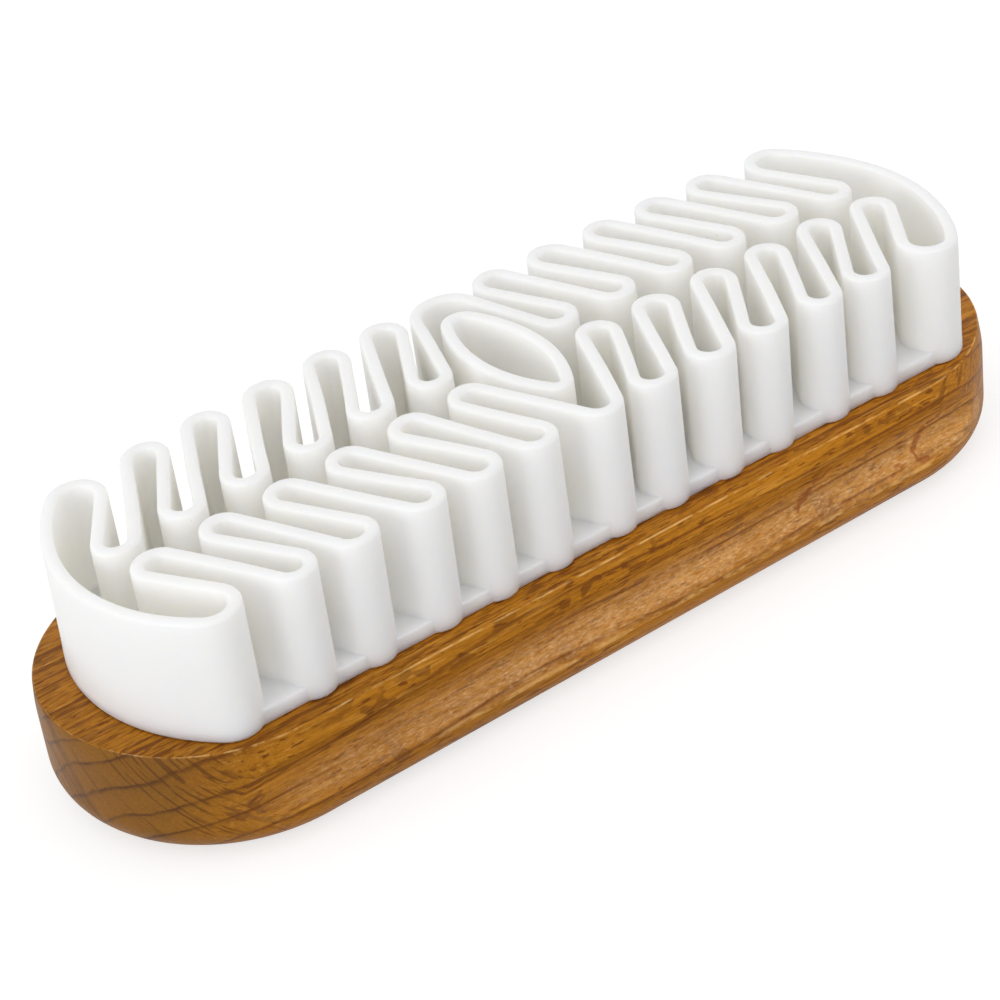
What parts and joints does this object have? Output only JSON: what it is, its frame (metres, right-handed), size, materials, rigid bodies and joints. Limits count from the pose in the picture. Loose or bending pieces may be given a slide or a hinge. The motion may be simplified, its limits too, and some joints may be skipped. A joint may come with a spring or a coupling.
{
  "type": "suede brush",
  "caption": "Hand brush for suede: a round-ended wooden block with finger grooves carries a moulded rubber insert of upright folded walls that lift the nap.",
  "frame": {"origin": "middle of the block's flat back, on which the brush lies", "axes": "+X along the brush, +Y across it towards the blunt head of the oval ring, +Z from the wood towards the rubber"},
  "size_m": [0.15, 0.0484, 0.0365],
  "materials": {
    "block": "oiled satin",
    "glue": "satin",
    "insert": "satin, slightly translucent"
  },
  "bodies": {
    "root": {"wooden_block": "block", "glue_film": "glue", "rubber_insert": "insert"}
  },
  "joints": []
}
